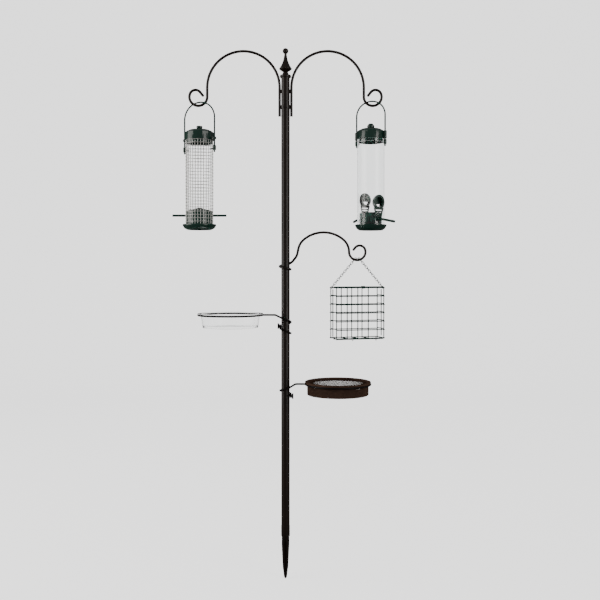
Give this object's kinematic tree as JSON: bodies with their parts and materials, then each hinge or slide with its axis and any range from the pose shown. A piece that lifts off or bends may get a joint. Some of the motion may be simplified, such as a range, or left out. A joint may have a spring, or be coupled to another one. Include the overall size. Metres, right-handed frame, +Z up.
{
  "type": "bird feeder on pole",
  "caption": "Bird feeding station: spiked tube pole with twin curled arms, hanging nut and seed tubes, a chained suet cage, a water dish and a mesh tray.",
  "frame": {"origin": "tip of the ground spike, on the pole's axis", "axes": "+Z up the pole, +X along the arms towards the clear seed feeder, -Y towards the front"},
  "size_m": [0.5696, 0.1994, 1.3788],
  "materials": {
    "bronze": "gloss",
    "black_wire": "satin",
    "green_plastic": "gloss",
    "green_wire": "gloss",
    "silver_mesh": "satin",
    "clear_tube": "gloss",
    "clear_dish": "gloss",
    "chain_steel": "gloss",
    "tray_mesh": "satin"
  },
  "bodies": {
    "pole": {"ground_spike": "bronze", "pole_lower": "bronze", "pole_upper": "bronze"},
    "head": {"head_tube": "bronze", "head_collar": "bronze", "arm_welds": "bronze", "left_arm": "bronze", "right_arm": "bronze", "finial": "bronze"},
    "nut_feeder": {"nut_bail": "green_wire", "nut_bail_clips": "green_plastic", "nut_mesh_tube": "silver_mesh", "nut_base": "green_plastic", "nut_perch": "green_plastic"},
    "nut_lid": {"nut_cap": "green_plastic", "nut_cap_knob": "green_plastic"},
    "seed_feeder": {"seed_bail": "green_wire", "seed_bail_clips": "green_plastic", "seed_tube": "clear_tube", "seed_base": "green_plastic", "seed_port_front": "green_plastic", "seed_perch_front": "green_plastic", "seed_port_back": "green_plastic", "seed_perch_back": "green_plastic"},
    "seed_lid": {"seed_cap": "green_plastic", "seed_cap_knob": "green_plastic"},
    "side_hook": {"side_hook": "bronze"},
    "suet_cage": {"cage_back": "green_wire", "cage_left": "green_wire", "cage_right": "green_wire", "cage_floor": "green_wire", "cage_top": "green_wire", "cage_hinge_rings": "green_wire", "chain_top_link": "chain_steel", "chain_left": "chain_steel", "chain_right": "chain_steel", "chain_end_rings": "chain_steel"},
    "suet_door": {"cage_door": "green_wire", "cage_latch": "green_wire"},
    "water_bracket": {"dish_bracket_arm": "black_wire", "dish_bracket_wrap": "black_wire", "dish_ring": "black_wire", "dish_clamp_nut": "black_wire"},
    "water_screw": {"dish_thumb_screw": "black_wire"},
    "water_dish": {"water_dish": "clear_dish"},
    "tray_bracket": {"tray_bracket_arm": "black_wire", "tray_bracket_wrap": "black_wire", "tray_ring": "black_wire", "tray_clamp_nut": "black_wire"},
    "tray_screw": {"tray_thumb_screw": "black_wire"},
    "seed_tray": {"seed_tray": "tray_mesh", "seed_tray_rim": "tray_mesh", "seed_tray_bead": "tray_mesh"}
  },
  "joints": [
    {"name": "head_turn", "type": "hinge", "parent": "pole", "child": "head", "pos_m": [0, 0, 1.2254], "axis": [0, 0, 1], "continuous": true},
    {"name": "nut_swing", "type": "hinge", "parent": "head", "child": "nut_feeder", "pos_m": [-0.2239, 0, 1.22888], "axis": [1, 0, 0], "range_deg": [-8, 15]},
    {"name": "nut_cap_lift", "type": "slide", "parent": "nut_feeder", "child": "nut_lid", "axis": [0, 0, 1], "range_m": [0, 0.04]},
    {"name": "seed_swing", "type": "hinge", "parent": "head", "child": "seed_feeder", "pos_m": [0.2218, 0, 1.22925], "axis": [1, 0, 0], "range_deg": [-15, 5]},
    {"name": "seed_cap_lift", "type": "slide", "parent": "seed_feeder", "child": "seed_lid", "axis": [0, 0, 1], "range_m": [0, 0.04]},
    {"name": "hook_turn", "type": "hinge", "parent": "pole", "child": "side_hook", "pos_m": [0, 0, 0.8155], "axis": [0, 0, 1], "range_deg": [-60, 60]},
    {"name": "cage_swing", "type": "hinge", "parent": "side_hook", "child": "suet_cage", "pos_m": [0.18765, 0.01455, 0.8275], "axis": [1, 0, 0], "range_deg": [-8, 8]},
    {"name": "cage_door_open", "type": "hinge", "parent": "suet_cage", "child": "suet_door", "pos_m": [0.19485, -0.009, 0.6245], "axis": [0.9563, 0.2924, 0], "range_deg": [0, 100]},
    {"name": "water_bracket_turn", "type": "hinge", "parent": "pole", "child": "water_bracket", "pos_m": [0, 0, 0.66], "axis": [0, 0, 1], "range_deg": [-50, 50]},
    {"name": "water_screw_turn", "type": "hinge", "parent": "water_bracket", "child": "water_screw", "pos_m": [-0.012, 0, 0.656], "axis": [-1, 0, 0], "continuous": true},
    {"name": "dish_lift", "type": "slide", "parent": "water_bracket", "child": "water_dish", "axis": [0, 0, 1], "range_m": [0, 0.06]},
    {"name": "tray_bracket_turn", "type": "hinge", "parent": "pole", "child": "tray_bracket", "pos_m": [0, 0, 0.48], "axis": [0, 0, 1], "continuous": true},
    {"name": "tray_screw_turn", "type": "hinge", "parent": "tray_bracket", "child": "tray_screw", "pos_m": [0.012, 0, 0.4737], "axis": [1, 0, 0], "continuous": true},
    {"name": "tray_lift", "type": "slide", "parent": "tray_bracket", "child": "seed_tray", "axis": [0, 0, 1], "range_m": [0, 0.06]}
  ]
}
